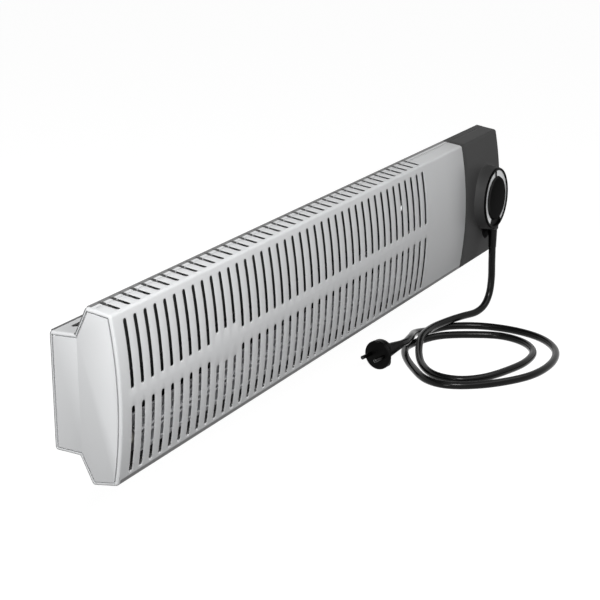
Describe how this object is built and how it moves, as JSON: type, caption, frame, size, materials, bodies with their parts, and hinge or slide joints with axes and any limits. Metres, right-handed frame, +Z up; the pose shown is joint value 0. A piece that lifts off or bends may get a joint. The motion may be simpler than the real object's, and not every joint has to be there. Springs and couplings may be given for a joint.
{
  "type": "electric mini radiator",
  "caption": "Slim wall-hung electric convector with a slotted light housing, a finned element inside, a dark thermostat head with a turning dial, and a mains lead with a moulded plug.",
  "frame": {"origin": "middle of the two wall screw holes, on the wall plane that the back lies against", "axes": "+X along the housing towards the thermostat head, +Y into the wall, +Z up"},
  "size_m": [0.904, 0.2297, 0.25],
  "materials": {
    "cover_grey": "satin moulded, light grey",
    "casing_grey": "satin moulded, light grey",
    "head_anthracite": "fine grained moulded, anthracite",
    "bezel_black": "semi-gloss black",
    "knob_black": "satin moulded, black",
    "scale_silver": "silver printed ring, bare",
    "zinc_steel": "zinc plated sheet",
    "bright_steel": "turned steel",
    "fin_aluminium": "extruded, mill finish",
    "rod_steel": "annealed sheath",
    "ceramic": "unglazed steatite",
    "thermostat_ivory": "moulded phenolic",
    "cutout_black": "moulded phenolic",
    "capillary_copper": "drawn copper",
    "lead_black": "smooth sheath, satin black",
    "plug_black": "moulded, satin black",
    "contact_nickel": "nickel plated brass",
    "wire_brown": "extruded insulation",
    "wire_blue": "extruded insulation",
    "wire_earth": "extruded insulation",
    "wire_white": "heat resistant sleeve"
  },
  "bodies": {
    "housing": {"front_cover": "cover_grey", "rear_casing": "casing_grey", "left_end_cap": "cover_grey", "bulkhead": "zinc_steel", "control_housing": "head_anthracite", "control_rear_cover": "head_anthracite", "dial_bezel": "bezel_black", "scale_ring": "scale_silver", "thermostat_body": "thermostat_ivory", "thermostat_nut": "bright_steel", "thermostat_bracket": "zinc_steel", "sensor_bulb": "capillary_copper", "heat_shield": "zinc_steel", "element_fins": "fin_aluminium", "element_rod": "rod_steel", "element_terminals": "bright_steel", "element_bushes": "ceramic", "element_bracket_left": "zinc_steel", "element_bracket_right": "zinc_steel", "thermal_cutout": "cutout_black", "cutout_clip": "zinc_steel", "terminal_block": "thermostat_ivory", "cord_clamp": "zinc_steel", "strain_relief": "lead_black", "mains_cord": "lead_black", "plug_body": "plug_black", "plug_pins": "contact_nickel", "plug_earth_clips": "contact_nickel", "live_wire": "wire_brown", "neutral_wire": "wire_blue", "earth_wire": "wire_earth", "element_wires": "wire_white", "cover_screws": "bright_steel", "control_screws": "bright_steel", "bracket_screws": "bright_steel", "shield_screws": "bright_steel", "earth_screw": "bright_steel"},
    "dial": {"control_knob": "knob_black", "knob_pointer": "knob_black", "thermostat_shaft": "bright_steel"}
  },
  "joints": [
    {"name": "thermostat_turn", "type": "hinge", "parent": "housing", "child": "dial", "pos_m": [0.407, 0, 0], "axis": [0, 1, 0], "range_deg": [-140, 150]}
  ]
}
